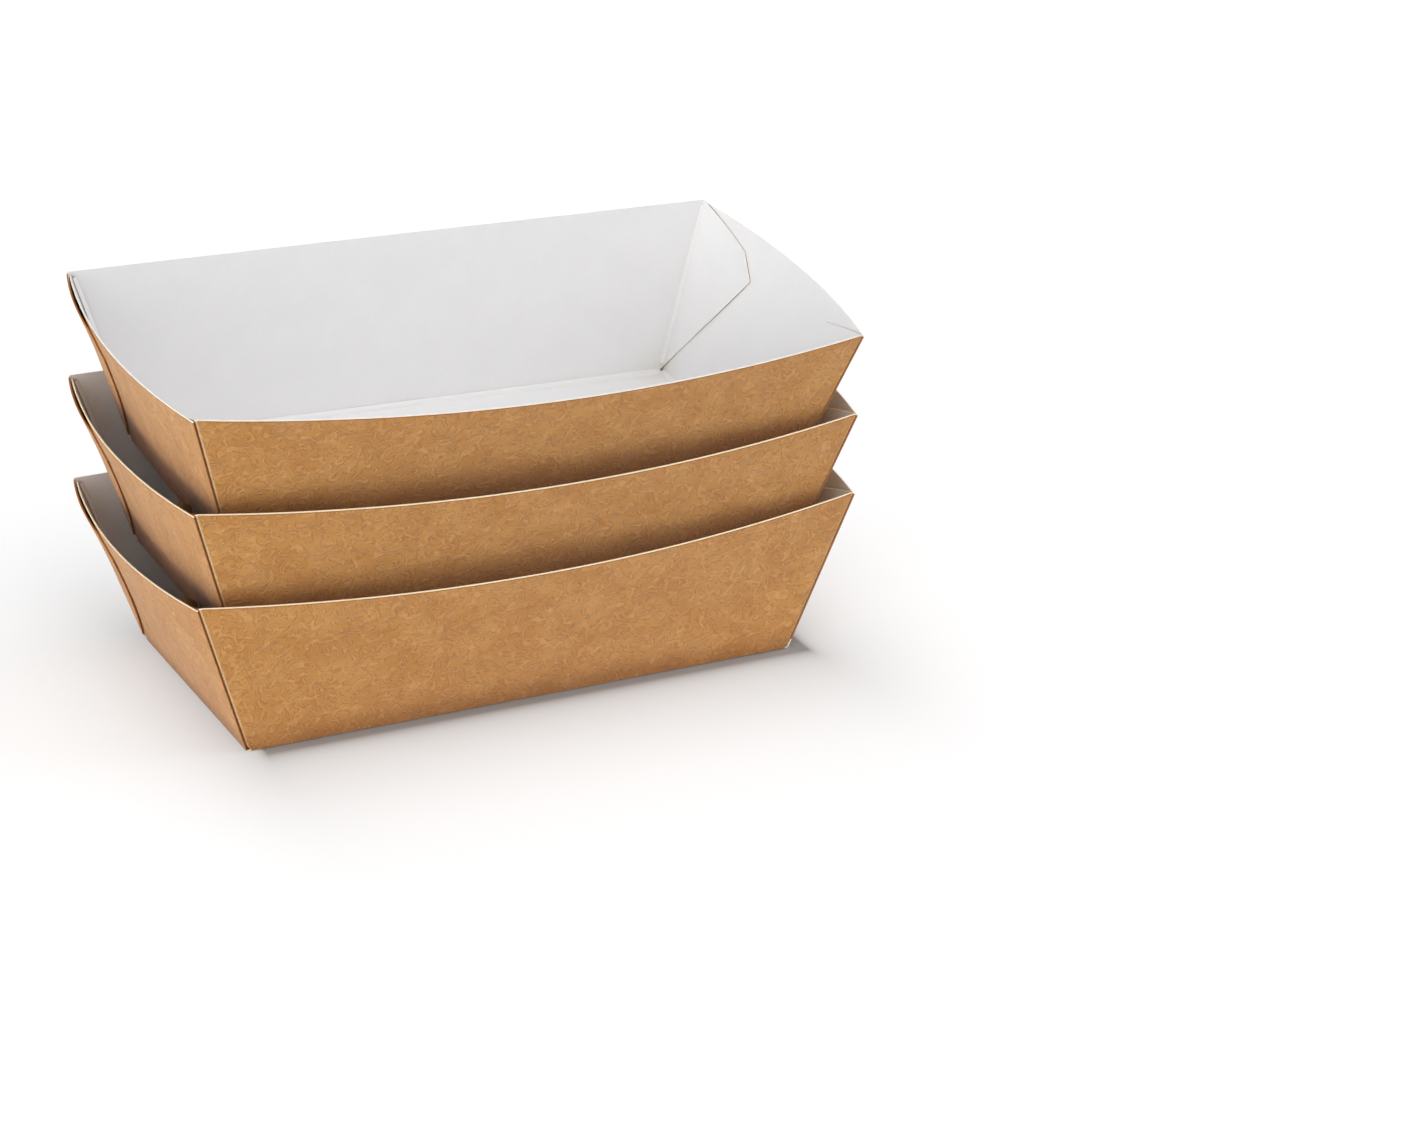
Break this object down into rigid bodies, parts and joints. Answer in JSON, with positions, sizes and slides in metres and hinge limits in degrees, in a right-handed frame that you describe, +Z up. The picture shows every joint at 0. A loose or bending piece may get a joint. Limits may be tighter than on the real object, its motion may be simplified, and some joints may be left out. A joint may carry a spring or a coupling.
{
  "type": "nested stack of open cardboard food trays",
  "caption": "Stack of open rectangular cardboard trays with flaring, bulging walls, kraft outside and white inside, nested loosely in each other.",
  "frame": {"origin": "centre of the bounding box's underside, in the plane that the bottom tray stands on", "axes": "+X along the trays towards the right end, -Y towards the front, +Z up out of the stack"},
  "size_m": [0.196, 0.1202, 0.1071],
  "materials": {
    "kraft_board": "matte kraft brown board with fine fibre marks",
    "white_liner": "smooth white coated inner face, slightly satin",
    "cut_edge": "cream cut edge of the board"
  },
  "bodies": {
    "root": {"bottom_tray": "kraft_board", "middle_tray": "kraft_board", "top_tray": "kraft_board"}
  },
  "joints": []
}
